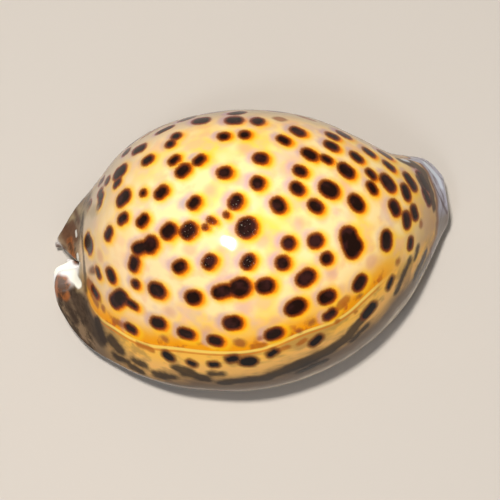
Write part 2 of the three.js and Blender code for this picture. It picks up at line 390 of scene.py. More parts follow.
# %% Closing the seam, rounding off and standing the shell in its place
WELD = 0.02 * MM
bpy.ops.object.mode_set(mode="EDIT")
bpy.ops.mesh.select_all(action="SELECT")
bpy.ops.mesh.remove_doubles(threshold=WELD)
bpy.ops.mesh.normals_make_consistent(inside=False)
bpy.ops.object.mode_set(mode="OBJECT")

rounding = shell.modifiers.new("rounding", "SUBSURF")
rounding.levels = rounding.render_levels = 1
bpy.ops.object.modifier_apply(modifier=rounding.name)

CROWN_STROKES = 24
CROWN_REACH = (20, 60)  # degrees from the crown, where the brush starts to lift and is off
NOTCH_END = (-36.8, -34.0)  # mm along the shell, where the back notch gives way to the dome
near_crown = 1 - smooth_step(np.abs(kept(shell.data, "bearing") - 90), *CROWN_REACH)
clear_of_notch = smooth_step(coordinates(shell.data)[:, 0] / MM, *NOTCH_END)
on_outside = kept(shell.data, "outer_skin") > OUTER_SHARE
crown_group = shell.vertex_groups.new(name="crown")
for number, weight in enumerate(near_crown * clear_of_notch * on_outside):
    if weight > 0:
        crown_group.add([number], weight, "REPLACE")
brush = shell.modifiers.new("brush", "SMOOTH")
brush.factor = 0.5
brush.iterations = CROWN_STROKES
brush.vertex_group = crown_group.name
bpy.ops.object.modifier_apply(modifier=brush.name)

points = coordinates(shell.data)
middle_of_box = (points.min(axis=0) + points.max(axis=0)) / 2
points -= [middle_of_box[0], middle_of_box[1], points[:, 2].min()]
moved_by = np.array([middle_of_box[0], middle_of_box[1]]) / MM
place(shell.data, points)
bpy.ops.object.shade_smooth()
box = (points.max(axis=0) - points.min(axis=0)) / MM
print(len(shell.data.polygons), "faces, box", box.round(2), "mm")

# %% [markdown]
# A row of teeth runs along each lip of the slit: low ridges that cross the lip's edge, with grooves
# between them. The outer lip's teeth are stronger and run further out over the base. We carve them into
# the finished wall with a wave along the shell, pushed into the slit on the lips' faces and cut up into
# the base between two ridges, so the base still rests flat on the tops of the ridges.

# %% Carving the teeth
TOOTH_PITCH = 2.9
TOOTH_STANDOUT = 0.85
# Where each carving sets in and is full, or where it starts to fade and is gone, in mm
ROW_STARTS = (-0.3, 1.2)
FACE_DEPTH, FACE_EDGE = 1.4, (0, 1.2)
FACE_FOOT, FACE_TOP = (0.1, 1.4), (3.4, 5.2)
GROOVE_STARTS, GROOVE_TOP = (-0.6, 0.6), (1.6, 2.6)
FULL_GROOVE = 0.35  # the share of its reach where a groove is still full
OUTER_TEETH = {"side": -1, "count": 24, "middle": 1.0, "reach": 5.2, "sharpness": 0.9, "groove": 0.6}
INNER_TEETH = {"side": 1, "count": 22, "middle": 2.4, "reach": 3.8, "sharpness": 1.5, "groove": 0.5}


def carve_teeth(points, side, count, middle, reach, sharpness, groove):
    """Moves the points (mm, before centring) round one lip: side -1 is the outer lip, 1 the inner."""
    x, y, z = points.T
    from_edge = side * (y - slit_line(x)) - slit_half_width(x)
    above_base = z - base_height(x) + WORN_FLAT
    half_row = count * TOOTH_PITCH / 2
    in_row = smooth_step(half_row - np.abs(x - middle), *ROW_STARTS)
    wave = 0.5 + 0.5 * np.cos(2 * np.pi * ((x - middle) / TOOTH_PITCH - (0.5 if count % 2 == 0 else 0)))
    ridge = wave**sharpness
    on_lip_face = smooth_step(FACE_DEPTH - np.abs(from_edge), *FACE_EDGE)
    on_lip_face = on_lip_face * smooth_step(above_base, *FACE_FOOT) * (1 - smooth_step(above_base, *FACE_TOP))
    on_base = smooth_step(from_edge, *GROOVE_STARTS)
    on_base = on_base * (1 - smooth_step(from_edge, reach * FULL_GROOVE, reach))
    on_base = on_base * (1 - smooth_step(above_base, *GROOVE_TOP))
    points[:, 1] -= side * TOOTH_STANDOUT * ridge * on_lip_face * in_row
    points[:, 2] += groove * (1 - ridge) * on_base * in_row
    return int((on_base * in_row > 0.5).sum())


points = coordinates(shell.data) / MM
points[:, :2] += moved_by
for teeth in (OUTER_TEETH, INNER_TEETH):
    print("teeth", teeth["count"], "touch", carve_teeth(points, **teeth), "points of the base")
points[:, :2] -= moved_by
place(shell.data, points * MM)

# %% [markdown]
# To put marks on the shell where the picture shows them, we follow the camera's line of sight for a
# pixel until it meets the shell. The lookup tree below answers that quickly, and gives the nearest
# point for a line that misses.

# %% Finding places on the shell
GLINT_PIXEL = (229, 241)  # where a lamp mirrors in the crown
cut = bmesh.new()
cut.from_mesh(shell.data)
shell_surface = BVHTree.FromBMesh(cut)
cut.free()


def on_shell(pixel):
    """The place in mm where the shell shows at a pixel, or the nearest to it just past the outline."""
    direction = sight_line(pixel)
    place_found = shell_surface.ray_cast(eye, direction)[0]
    if place_found is None:
        nearest_on_line = eye + direction * (LOOKED_AT - eye).dot(direction)
        place_found = shell_surface.find_nearest(nearest_on_line)[0]
    return np.array(place_found) / MM


print("the crown's glint lies at", on_shell(GLINT_PIXEL).round(1), "mm")

# %% [markdown]
# A tiger cowrie's spots are laid down by the mantle, the soft skirt that the snail wraps over its back.
# Each is a dark drop that ran a little, so no two are alike, and they are all only colour. We list the
# drops as short strokes: two ends in pixels of the picture and a radius in mm on the shell. A round
# drop has both ends in one place, so it is given by three numbers. They are read off the picture,
# row by row, from the far edge to the near one.

# %% The spots on the back
FAR_LEFT_SPOTS = [
    (135, 151, 143, 147, 1.3), (145, 161.5, 150, 158.5, 1.15), (116, 175, 123, 169, 1.6),
    (115, 185, 119, 181, 1.0), (100, 183, 103, 179, 0.9), (122, 148, 1.2), (158, 195, 164, 189.5, 1.25),
    (171.5, 162, 176.5, 158, 1.05), (176, 136, 1.2), (170, 144, 1.15), (180, 173, 185.5, 168, 1.35),
    (196, 162.5, 202, 157.5, 1.05), (100, 193, 1.2), (88, 207, 90, 203, 1.0),
    (98.5, 206, 100, 203, 0.95), (120, 201, 126, 195, 1.6), (191.5, 205.5, 196, 200, 1.2),
    (143, 193, 0.9), (92.5, 174, 1.1), (85, 192, 1.3),
]
FAR_SPOTS = [
    (197, 121, 205, 120, 1.5), (230, 120, 238, 120, 1.5), (257.5, 121, 1.5),
    (293, 129, 302, 133.5, 1.2), (280, 138, 287, 142, 1.1), (221.5, 136.5, 225.5, 136, 1.1),
    (244.5, 134.5, 1.25), (305, 151.5, 314, 157, 1.25), (258, 158, 263, 158.5, 1.35),
    (221.5, 173, 227, 172, 1.3), (257.5, 183, 1.5), (297, 169.5, 303, 172, 1.2),
    (295, 187, 299, 190, 1.35), (234, 204, 237, 199, 1.4), (277, 203, 279.5, 207, 1.5),
    (312.5, 204.5, 318.5, 208, 1.35), (325, 187, 333, 191.5, 1.75),
]
FRONT_SPOTS = [
    (328, 134, 337, 138, 1.0), (338, 131.5, 350, 138, 1.0), (327, 143.5, 336, 148, 1.15),
    (323, 157.5, 330, 161, 0.95), (342.5, 167.5, 350, 173.5, 1.5), (352, 153.5, 361, 160.5, 1.05),
    (364, 148.5, 374, 156, 0.95), (378, 150, 392, 159, 0.9), (368, 171, 374, 177, 1.0),
    (369.5, 184, 374.5, 191.5, 1.1), (384, 177.5, 392, 188, 1.5), (384, 161.5, 394, 170, 0.95),
    (405, 173, 416, 190, 1.2), (404, 186, 408, 198, 1.25), (417, 170, 429, 192, 1.1),
    (424, 190, 430, 204, 1.2), (353, 199, 360, 207, 1.5), (393, 204, 396.5, 211.5, 1.4),
    (406, 214, 407.5, 226, 1.25), (413, 207, 416, 218, 1.15), (347, 231, 354, 254, 1.95),
    (356, 246, 1.6), (386.5, 234.5, 386.5, 246.5, 1.5), (411, 239, 410, 248, 1.0),
]
LEFT_SPOTS = [
    (120, 220.5, 125, 216.5, 1.15), (139.5, 223.5, 145, 217.5, 1.15), (107, 236, 109.5, 231, 1.25),
    (87, 239, 90.5, 248, 1.8), (165.5, 233.5, 171, 228.5, 1.5), (148, 247, 152, 242, 1.6),
    (135, 250, 144, 246, 1.35), (135, 259, 132.5, 268.5, 1.25), (135.5, 284, 1.1),
    (109.5, 271.5, 112, 279, 1.3), (96.5, 268, 99.5, 277, 0.85), (154.5, 289.5, 159, 291, 1.75),
    (176.5, 268.5, 182, 265, 1.3), (113, 303, 123, 295, 1.75), (126, 301, 137, 307.5, 0.95),
    (92, 287, 98, 297, 0.9), (185.5, 233, 191, 228, 1.55), (191, 298, 195, 297, 1.6),
]
MIDDLE_SPOTS = [
    (245, 229, 248, 226, 2.0), (205, 227, 0.7), (210, 220, 0.8), (214, 222, 0.5), (226, 215, 0.7),
    (207, 264.5, 211, 259, 1.35), (245.5, 265, 250, 258.5, 1.3), (282.5, 263, 1.55), (288.5, 243, 1.45),
    (313.5, 241.5, 317.5, 240, 1.5), (302, 280.5, 309.5, 275, 1.65), (262.5, 287, 268, 285, 1.65),
    (237.5, 289, 242, 286.5, 2.0), (215.5, 293.5, 229, 289.5, 1.45), (326.5, 258.5, 1.4),
    (357, 287.5, 362.5, 278.5, 1.4),
]
GREY_SMEARS = [
    (182, 204, 188, 203, 1.2), (189, 159, 196, 157, 1.0), (169, 160, 174, 158, 0.6),
    (208, 342, 212, 338, 0.9),
]
NEAR_SPOTS = [
    (323.5, 298.5, 330, 295.5, 1.6), (154.5, 322.5, 161, 323.5, 1.5), (127.5, 326.5, 134, 330.5, 1.15),
    (181.5, 332.5, 190, 334.5, 1.4), (211.5, 340, 218.5, 341.5, 1.35), (228.5, 323.5, 236, 322.5, 1.65),
    (269, 336, 278.5, 332, 1.45), (291, 310, 300, 304.5, 1.75), (326, 317.5, 334, 311.5, 1.15),
]
BACK_SPOTS = FAR_LEFT_SPOTS + FAR_SPOTS + FRONT_SPOTS + LEFT_SPOTS + MIDDLE_SPOTS + NEAR_SPOTS
print(len(BACK_SPOTS), "dark spots read off the picture")

# %% [markdown]
# Other marks are softer. Some drops stayed brown, some are only a lilac shadow deep in the glaze, and
# along the flank below the mantle line the drops have run together into black and grey-brown blots.

# %% The softer marks
BROWN_DROPS = [
    (89, 284, 98, 296, 1.6), (92, 294, 97, 303, 1.1), (117, 184, 1.1), (108.5, 167, 1.1),
    (101, 181.5, 1.1), (142, 134, 163, 126, 0.8), (280, 119, 1.5), (300, 116, 312, 120, 1.0),
    (404, 162, 413, 167, 0.7), (88, 210, 91, 204, 0.7), (97.5, 207, 101, 203, 0.9),
    (115, 321, 124, 326, 0.9), (103, 308, 1.0), (165, 339, 1.0), (240, 343, 1.3), (299, 331, 0.8),
    (312, 322, 1.0), (398, 262, 1.0), (421, 224, 1.0), (360, 296, 0.8), (260, 338, 0.6),
]
LILAC_CLOUDS = [
    (371, 261, 1.3), (332, 273, 1.2), (142, 310, 1.3), (170, 312, 1.3), (208, 330, 1.2),
    (275, 322, 1.2), (235, 178, 1.5), (245, 148, 1.3), (262, 240, 1.5), (100, 256, 1.3),
    (345, 185, 1.3), (322, 215, 1.2), (210, 190, 1.2), (300, 222, 1.0), (190, 250, 1.2),
    (222, 250, 1.0), (340, 290, 1.0),
]
FLANK_BLACK = [
    (165, 354, 171.5, 358.5, 1.0), (188.5, 362, 195, 365, 0.75), (209.5, 364.5, 218, 364.5, 0.75),
    (227, 360, 238, 358, 0.85), (243, 362, 254, 361, 1.25), (269, 355, 276, 351, 0.85),
    (311.5, 345, 321, 336.5, 0.95), (364, 317, 374.5, 304, 1.15), (393, 276, 387.5, 290, 0.65),
]
FLANK_RUST = [
    (138, 344, 152, 350, 0.55), (299, 344, 305, 340, 0.45), (253, 347, 264, 344.5, 0.5),
    (340, 306, 346, 300, 0.9), (337.5, 321, 0.5), (356, 312, 0.4), (276, 351, 288, 347, 0.5),
]
FLANK_GREY = [
    (409, 262, 397, 291, 0.7), (425, 255, 416, 274, 0.8), (418, 248, 415.5, 258, 0.4),
    (112, 341, 120, 351, 1.1), (98, 323, 103, 338, 1.0), (135, 361, 145, 365.5, 0.6),
    (116, 356, 128, 362, 0.5), (131, 366, 142, 372, 0.5), (156, 374, 173, 377, 0.8),
    (176, 368, 190, 371, 0.7), (184, 373, 207, 379, 1.0), (211, 374, 222, 374, 0.5),
    (222, 383, 262, 378, 0.9), (266, 377, 292, 369, 1.3), (292, 368, 313, 359, 1.5),
    (313, 359, 333, 348, 1.5), (333, 348, 348, 337, 1.4), (348, 337, 360, 322, 1.2),
    (360, 322, 368, 311, 0.9), (352, 341, 366, 326, 0.6), (300, 372, 324, 361, 0.7),
]
MANTLE_LINE = [
    (85, 291), (90, 303), (98, 316), (116, 329.5), (143, 342.5), (175, 349), (215, 353.5), (256, 350.5),
    (302, 333), (345, 314), (369, 293), (390, 274),
]
print(len(BROWN_DROPS), "brown drops,", len(FLANK_BLACK) + len(FLANK_GREY), "blots on the flank")

# %% [markdown]
# Near each end of the shell the mantle left other colours: rust and dark brown round the back notch
# with bare white inside it, and a pearly grey-blue glaze with a dark red-brown edge round the front
# canal. The notch's dark shadow is also painted onto the tip of the far lobe.

# %% The marks at the two ends
NOTCH_RUST = [
    (70, 240, 72, 252, 0.45), (72, 252, 76, 262, 0.45), (52, 279, 64, 280, 0.75),
    (55, 287, 66, 286, 0.9), (58, 294, 66, 296, 0.7),
]
# brown streaks round the notch; the last stroke is painted shadow, the notch's dark laid on the far lobe's
# tip
NOTCH_BROWN_AND_SHADOW = [
    (65, 228, 69, 240, 0.8), (71, 224, 76, 238, 0.8), (75, 210, 79, 222, 0.35), (58, 246, 64, 249, 0.5),
]
NOTCH_DARK = [
    (83, 214, 82, 236, 0.3), (82, 236, 84, 262, 0.4), (84, 262, 86, 290, 0.5), (72, 292, 80, 306, 0.7),
    (78, 300, 92, 326, 1.4), (92, 328, 102, 342, 1.0), (66, 300, 76, 322, 0.5),
]
NOTCH_TAN = [(76, 206, 73, 218, 0.7), (80, 268, 81, 288, 0.4)]
NOTCH_WHITE = [(56, 270, 62, 266, 0.6), (66, 266, 73, 275, 0.75), (72, 274, 79, 284, 0.65)]
NOTCH_GLINT = [(76, 231, 76.5, 236, 0.2), (77.5, 254, 78.5, 261, 0.2)]
PEARL_EDGE = [
    (398, 157), (410, 159), (420, 163), (427, 171), (431, 180), (435, 190), (437, 200), (437, 210),
    (438, 222), (436, 236), (431, 250),
]
FRONT_BROWN = [
    (400, 160, 416, 166, 0.8), (414, 164, 424, 172, 1.3), (424, 174, 431, 192, 1.4),
    (431, 192, 434, 206, 1.0), (418, 178, 422, 186, 0.7),
]
FRONT_SEAM = [(434, 184, 441, 200, 0.15), (441, 200, 447, 213, 0.15)]
FRONT_GLINT = [(402, 159.5, 408, 161, 0.15), (427, 165, 438, 178, 0.9), (438, 178, 441, 186, 0.5)]
print("marks at the back notch:", len(NOTCH_RUST + NOTCH_BROWN_AND_SHADOW + NOTCH_DARK + NOTCH_TAN + NOTCH_WHITE))

# %% [markdown]
# For the finish we need to know, everywhere on the shell, how far the nearest mark's edge is: below
# zero inside the mark, and growing outwards. The finish then chooses how soft the edge is and which
# colour lies beside it. Strokes that touch melt together, as wet drops do. The distances are kept on
# the vertices under a name for each layer.

# %% Measuring how far the marks are
points = coordinates(shell.data) / MM
bearing = kept(shell.data, "bearing")
outer_skin = kept(shell.data, "outer_skin")
FAR_OFF = 20.0
MELT = 0.3
DRAWN_IN = 0.6  # the listed ends lie well out in a drop's round ends, so its stroke is cut to this share
STROKE_STEP = 6  # pixels; a longer stroke is followed over the shell in steps of about this
DROP_TRIM = -0.09  # mm; the listed radii take in a little of each drop's soft edge
BLOT_TRIM = -0.05
GREY_SPREAD = 0.3
UNSQUEEZED = np.zeros(3)


def squeeze_at(place_in_mm):
    """The way down the slope, longer where a place is seen slanting. It stretches a drop to look round."""
    place = Vector(place_in_mm * MM)
    normal = shell_surface.find_nearest(place)[1]
    to_camera = (eye - place).normalized()
    tilt = (1 + min(max(normal.dot(to_camera), 0.0), 1.0)) / 2
    down_slope = (normal * normal.dot(to_camera) - to_camera).normalized()
    return np.array(down_slope) * np.sqrt(1 - tilt**2)


def strokes_on_shell(marks, share_of_length=1.0, thicker=0.0, stretched=False):
    """The ends (mm), radius and squeeze of each stroke, shortened to a share and made thicker (mm)."""
    strokes = []
    for mark in marks:
        first, last = np.array(mark[:2]), np.array(mark[-3:-1])
        middle, half = (first + last) / 2, (last - first) / 2 * share_of_length
        squeeze = squeeze_at(on_shell(middle)) if stretched else UNSQUEEZED
        steps = max(1, int(np.ceil(np.linalg.norm(2 * half) / STROKE_STEP)))
        places = [on_shell(middle + half * share) for share in np.linspace(-1, 1, steps + 1)]
        strokes += [(a, b, mark[-1] + thicker, squeeze) for a, b in zip(places[:-1], places[1:])]
    return strokes


def distance_to(strokes, shift=(0, 0, 0), swell=0.0, melt=MELT):
    """Each vertex's distance (mm) from the nearest stroke's edge, with all strokes shifted and swollen."""
    nearest = np.full(len(points), FAR_OFF)
    for first, last, radius, squeeze in strokes:
        start, run = first + np.array(shift), last - first
        share = np.clip((points - start) @ run / max(run @ run, 1e-9), 0, 1)
        offset = points - start - share[:, None] * run
        squared = (offset**2).sum(axis=1) - (offset @ squeeze) ** 2
        distance = np.sqrt(np.maximum(squared, 0)) - radius - swell
        blend = np.clip(0.5 + 0.5 * (nearest - distance) / melt, 0, 1)
        nearest = mix(nearest, distance, blend) - melt * blend * (1 - blend)
    return nearest


# %% [markdown]
# The picture shows one side. A shell is spotted all over its back and flanks, so the unseen parts get
# drops of the same sizes, scattered by a seeded draw that keeps each a fair distance from its
# neighbours.

# %% Scattering drops where the picture doesn't reach
SCATTER_SEED = 11
MOST_TRIES = 5000
SCATTER_BEARINGS = (-38, 215)
SCATTER_END = 38.5  # mm from the middle, along the shell
SPOT_SPACING = 5.4  # mm
SPACING_SPREAD = (0.85, 1.15)
DROP_RADIUS = (1.0, 1.75)  # mm
DROP_RUN, DROP_DRIFT = 1.3, 0.7  # mm; the furthest that a drop ran along the shell and across it
FAR_SIDE_BEARING, FAR_SIDE_END = 120, 30
BARELY_SEEN = 0.3  # a place on the far side counts as seen only where it faces the camera more than this
rng = np.random.default_rng(SCATTER_SEED)


def seen_by_camera(place_in_mm, least_tilt):
    """Whether the camera has a free sight of a place that faces it more than least_tilt."""
    start = Vector(place_in_mm * MM)
    to_camera = (eye - start).normalized()
    tilt = shell_surface.find_nearest(start)[1].dot(to_camera)
    return tilt > least_tilt and shell_surface.ray_cast(start + to_camera * 0.5 * MM, to_camera)[0] is None


back_strokes = strokes_on_shell(BACK_SPOTS, DRAWN_IN, DROP_TRIM, stretched=True)
blot_strokes = strokes_on_shell(FLANK_BLACK + FLANK_GREY)
taken = [(first + last) / 2 for first, last, *_ in back_strokes + strokes_on_shell(BROWN_DROPS)]
taken += [first for first, *_ in blot_strokes]
taken += [last for _, last, *_ in blot_strokes]
on_flanks = (bearing > SCATTER_BEARINGS[0]) & (bearing < SCATTER_BEARINGS[1])
on_flanks = on_flanks & (outer_skin > OUTER_SHARE) & (np.abs(points[:, 0]) < SCATTER_END)
candidates = rng.permutation(np.flatnonzero(on_flanks))[:MOST_TRIES]
scattered = []
for number in candidates:
    spot = points[number].astype(float)
    room = np.linalg.norm(np.array(taken) - spot, axis=1).min()
    crowded = room < SPOT_SPACING * rng.uniform(*SPACING_SPREAD)
    on_far_side = bearing[number] > FAR_SIDE_BEARING and abs(spot[0]) < FAR_SIDE_END
    if crowded or seen_by_camera(spot, BARELY_SEEN if on_far_side else 0.0):
        continue
    radius = rng.uniform(*DROP_RADIUS)
    stretch = np.array([rng.uniform(-DROP_RUN, DROP_RUN), rng.uniform(-DROP_DRIFT, DROP_DRIFT), 0])
    scattered.append((spot - stretch, spot + stretch, radius, UNSQUEEZED))
    taken.append(spot)
print(len(scattered), "more drops on the unseen sides")

# %% [markdown]
# The mantle line is where the two halves of the mantle met. It runs low along the near flank: above it
# the glaze is a deep honey yellow, and below it the older, thicker and greyer enamel shows. We need its
# distance with a sign, so each vertex also asks whether its bearing lies above or below the line's
# bearing at the same place along the shell.

# %% The mantle line and the zones of the glaze
LINE_STEP = 0.8  # mm along the shell
NO_MELT = 0.01
LINE_BLEND = (-3, 2)  # mm past the line's ends, where its distance gives way to the bearing's


def bearing_at(place_in_mm):
    """The bearing of the outer skin's nearest vertex."""
    away = np.linalg.norm(points - place_in_mm, axis=1) + FAR_OFF * (outer_skin < OUTER_SHARE)
    return bearing[away.argmin()]


line_places = [on_shell(pixel) for pixel in MANTLE_LINE]
line_bearing = curve([(spot[0], bearing_at(spot)) for spot in line_places])
line_start, line_end = line_places[0][0], line_places[-1][0]
line_x = np.arange(line_start, line_end, LINE_STEP)
line_pair = outside(line_x + moved_by[0], line_bearing(line_x), np.zeros(len(line_x)))
line_run = np.stack([line_x, line_pair[0] - moved_by[1], line_pair[1] - WORN_FLAT], axis=1)
line_strokes = [(a, b, 0.0, UNSQUEEZED) for a, b in zip(line_run[:-1], line_run[1:])]
side_of_line = np.where(bearing > line_bearing(points[:, 0]), 1, -1)
above_line = side_of_line * np.abs(distance_to(line_strokes, melt=NO_MELT))
past_line_ends = np.maximum(line_start - points[:, 0], points[:, 0] - line_end)
MM_PER_DEGREE = 0.55
beside_line = (bearing - line_bearing(points[:, 0])) * MM_PER_DEGREE
above_line = mix(above_line, beside_line, smooth_step(past_line_ends, *LINE_BLEND))

FAR_FLANK_BEARING = 148
above_far_flank = (FAR_FLANK_BEARING - bearing) * MM_PER_DEGREE
BASE_EDGE = {"outer": (-62, -40), "inner": (222, 244)}
on_base = 1 - smooth_step(bearing, *BASE_EDGE["outer"]) + smooth_step(bearing, *BASE_EDGE["inner"])
CREASE = [(92, 196), (84, 222), (80, 246), (81, 262), (84, 278), (87, 292)]


def past(boundary, towards):
    """How far (mm) along the shell each vertex lies past a boundary that runs from side to side."""
    places = np.array([on_shell(pixel) for pixel in boundary])
    order = np.argsort(places[:, 1])
    return (points[:, 0] - np.interp(points[:, 1], places[order, 1], places[order, 0])) * towards


past_crease = past(CREASE, -1)
past_pearl_edge = past(PEARL_EDGE, 1)
print("the mantle line runs from", round(float(line_start), 1), "to", round(float(line_end), 1), "mm")
print(int((past_crease > 0).sum()), "vertices lie behind the crease at the back end")
print(int((past_pearl_edge > 0).sum()), "vertices lie on the pearly front end")

# %% [markdown]
# Every layer of paint now gets its distances. The drops are measured three times: as they lie, shifted
# towards the front for their bright rings, and shifted to the back for the lilac shade on their other
# side. The black blots are stretched like drops, the grey ones are spread a little, and all other marks
# are measured as they were listed.

# %% Keeping every distance on the shell
HALO_SHIFT = (0.6, -0.35, 0)
HALO_SWELL = 0.05
SHADE_SHIFT = (-0.8, 0.5, 0)
PLAIN_MARKS = {
    "brown_drop": BROWN_DROPS, "lilac_cloud": LILAC_CLOUDS, "grey_smear": GREY_SMEARS,
    "flank_rust": FLANK_RUST, "notch_rust": NOTCH_RUST, "notch_brown_and_shadow": NOTCH_BROWN_AND_SHADOW,
    "notch_dark": NOTCH_DARK, "notch_tan": NOTCH_TAN, "notch_white": NOTCH_WHITE,
    "notch_glint": NOTCH_GLINT, "front_brown": FRONT_BROWN, "front_glint": FRONT_GLINT,
    "front_seam": FRONT_SEAM,
}

all_spots = back_strokes + scattered
layers = {
    "spot": distance_to(all_spots),
    "halo": distance_to(all_spots, HALO_SHIFT, HALO_SWELL),
    "shade": distance_to(all_spots, SHADE_SHIFT),
    "flank_black": distance_to(strokes_on_shell(FLANK_BLACK, DRAWN_IN, BLOT_TRIM, stretched=True)),
    "flank_grey": distance_to(strokes_on_shell(FLANK_GREY, thicker=GREY_SPREAD)),
    "above_line": above_line,
    "above_far_flank": above_far_flank,
    "past_line_ends": past_line_ends,
    "on_base": on_base,
    "past_crease": past_crease,
    "past_pearl_edge": past_pearl_edge,
}
layers.update({name: distance_to(strokes_on_shell(marks)) for name, marks in PLAIN_MARKS.items()})
for name, values in layers.items():
    keep(shell.data, name, values)
print("kept", len(layers), "layers on", len(points), "vertices")

# %% [markdown]
# The finish is one glaze painted in layers, from the ground colour up, as the mantle did it. Each layer
# reads one of the distances, turns it into a soft mask and lays its colour over what is there. A little
# noise on the distances makes every edge uneven. These helpers keep the layers short.

# %% Helpers for painting in layers
glaze = bpy.data.materials.new("spotted_glaze")
glaze.use_nodes = True
nodes, links = glaze.node_tree.nodes, glaze.node_tree.links
shader = nodes["Principled BSDF"]


def rgb(red, green, blue):
    """A colour as a screen shows it, 0 to 255, in the linear values that the shader wants."""
    share = np.array([red, green, blue]) / 255
    linear = np.where(share <= 0.04045, share / 12.92, ((share + 0.055) / 1.055) ** 2.4)
    return (*linear.tolist(), 1.0)


def feed(socket, value):
    """Links a socket to another one, or sets it to a number or colour."""
    if isinstance(value, bpy.types.NodeSocket):
        links.new(value, socket)
    else:
        socket.default_value = value


def calculate(operation, first, second=0.0):
    """The result of a Math node."""
    node = nodes.new("ShaderNodeMath")
    node.operation = operation
    feed(node.inputs[0], first)
    feed(node.inputs[1], second)
    return node.outputs[0]


def layer(name):
    """The values that were kept on the vertices under a name."""
    node = nodes.new("ShaderNodeAttribute")
    node.attribute_name = name
    return node.outputs["Fac"]


def fade(value, full_at, gone_at):
    """1 where the value is at or past full_at, falling softly to 0 at gone_at."""
    node = nodes.new("ShaderNodeMapRange")
    node.interpolation_type = "SMOOTHSTEP"
    feed(node.inputs["Value"], value)
    falls = full_at < gone_at
    node.inputs["From Min"].default_value = full_at if falls else gone_at
    node.inputs["From Max"].default_value = gone_at if falls else full_at
    node.inputs["To Min"].default_value = 1.0 if falls else 0.0
    node.inputs["To Max"].default_value = 0.0 if falls else 1.0
    return node.outputs["Result"]


def both(first, second):
    """A mask that is full only where both of its masks are."""
    return calculate("MULTIPLY", first, second)


def paint(ground, colour, mask, strength=1.0):
    """Lays a colour over the ground where the mask is, as thickly as strength says."""
    node = nodes.new("ShaderNodeMix")
    node.data_type = "RGBA"
    feed(node.inputs[0], both(mask, strength) if strength < 1 else mask)
    feed(node.inputs[6], ground)
    feed(node.inputs[7], colour)
    return node.outputs[2]


object_place = nodes.new("ShaderNodeTexCoord").outputs["Object"]


def noise(size_mm, detail=2.0, roughness=0.5, stretch=(1, 1, 1)):
    """Cloudy noise from 0 to 1. Its clouds are size_mm across, longer along an axis with a small stretch."""
    mapping = nodes.new("ShaderNodeMapping")
    mapping.inputs["Scale"].default_value = stretch
    links.new(object_place, mapping.inputs["Vector"])
    node = nodes.new("ShaderNodeTexNoise")
    links.new(mapping.outputs["Vector"], node.inputs["Vector"])
    node.inputs["Scale"].default_value = 1 / (size_mm * MM)
    node.inputs["Detail"].default_value = detail
    node.inputs["Roughness"].default_value = roughness
    return node.outputs["Fac"]


def uneven(distance, cloud, amount):
    """A distance (mm) pushed in and out by up to half of amount."""
    return calculate("ADD", distance, calculate("MULTIPLY", calculate("SUBTRACT", cloud, 0.5), amount))


def paint_layer(ground, name, colour, cloud, amount, full_at, gone_at, strength=1.0):
    """Paints where one kept layer says, with an edge that a cloud makes uneven."""
    return paint(ground, colour, fade(uneven(layer(name), cloud, amount), full_at, gone_at), strength)


print("the glaze is painted on", glaze.name)

# %% [markdown]
# The ground is a creamy yellow with warmer and pinker patches. Towards the far flank it turns tan and then
# grey-brown, partly the flank's thicker enamel and partly painted reflection of the grey surroundings at
# grazing angles; the tan is painted a little lighter against the shading at that edge. Round the back end
# it is paler, and greyer on the far side, again partly painted reflection.

# %% The ground colours
wide_clouds = noise(9.0, 2.0)
middling_clouds = noise(4.5, 3.0)
edge_clouds = noise(1.6, 3.0, 0.6)
fine_grain = noise(0.45, 2.0, 0.6)

line, past_line = layer("above_line"), layer("past_line_ends")
crease, pearl_edge = layer("past_crease"), layer("past_pearl_edge")
from_line = uneven(line, middling_clouds, 2.0)
from_far_flank = uneven(layer("above_far_flank"), middling_clouds, 5.0)

ground = paint(rgb(252, 218, 152), rgb(252, 206, 88), fade(wide_clouds, 0.66, 0.44))
ground = paint(ground, rgb(246, 190, 132), fade(middling_clouds, 0.66, 0.46), 0.8)
ground = paint(ground, rgb(212, 172, 164), fade(noise(6.0, 2.0), 0.68, 0.52), 0.5)
# tan towards the far outline, painted lighter against the shading there; the grey over it is partly painted
# reflection
ground = paint(ground, rgb(230, 196, 152), fade(from_far_flank, 1.0, 13.0))
ground = paint(ground, rgb(188, 170, 146), fade(from_far_flank, 0.0, 11.0), 0.6)
ground = paint(ground, rgb(196, 152, 100), fade(pearl_edge, -0.5, -8.0), 0.85)
ground = paint(ground, rgb(252, 220, 182), fade(crease, -5.0, -26.0), 0.42)
ground = paint(ground, rgb(222, 190, 156), fade(crease, -1.0, -6.0), 0.7)
# greyer on the far side of the back end, partly painted reflection of the surroundings
far_back = both(fade(crease, -4.0, -18.0), fade(from_far_flank, 6.0, 24.0))
ground = paint(ground, rgb(204, 184, 156), far_back, 0.75)
print("the ground took", len(nodes), "nodes")

# %% [markdown]
# Above the mantle line lies the honey band, widest in the middle of the shell and gone past the line's
# ends. Below it the flank is a yellow tan that darkens to grey-brown and pales again near the base. The
# far flank is greyer.

# %% The honey band and the flanks
ground = paint(ground, rgb(244, 178, 58), both(fade(from_line, 2.0, 9.0), fade(past_line, -1.0, 8.0)))
honey = paint(rgb(246, 158, 8), rgb(206, 104, 10), fade(noise(3.0, 3.0), 0.66, 0.52))
ground = paint(ground, honey, both(fade(from_line, 0.8, 4.6), fade(past_line, -3.0, 3.0)))

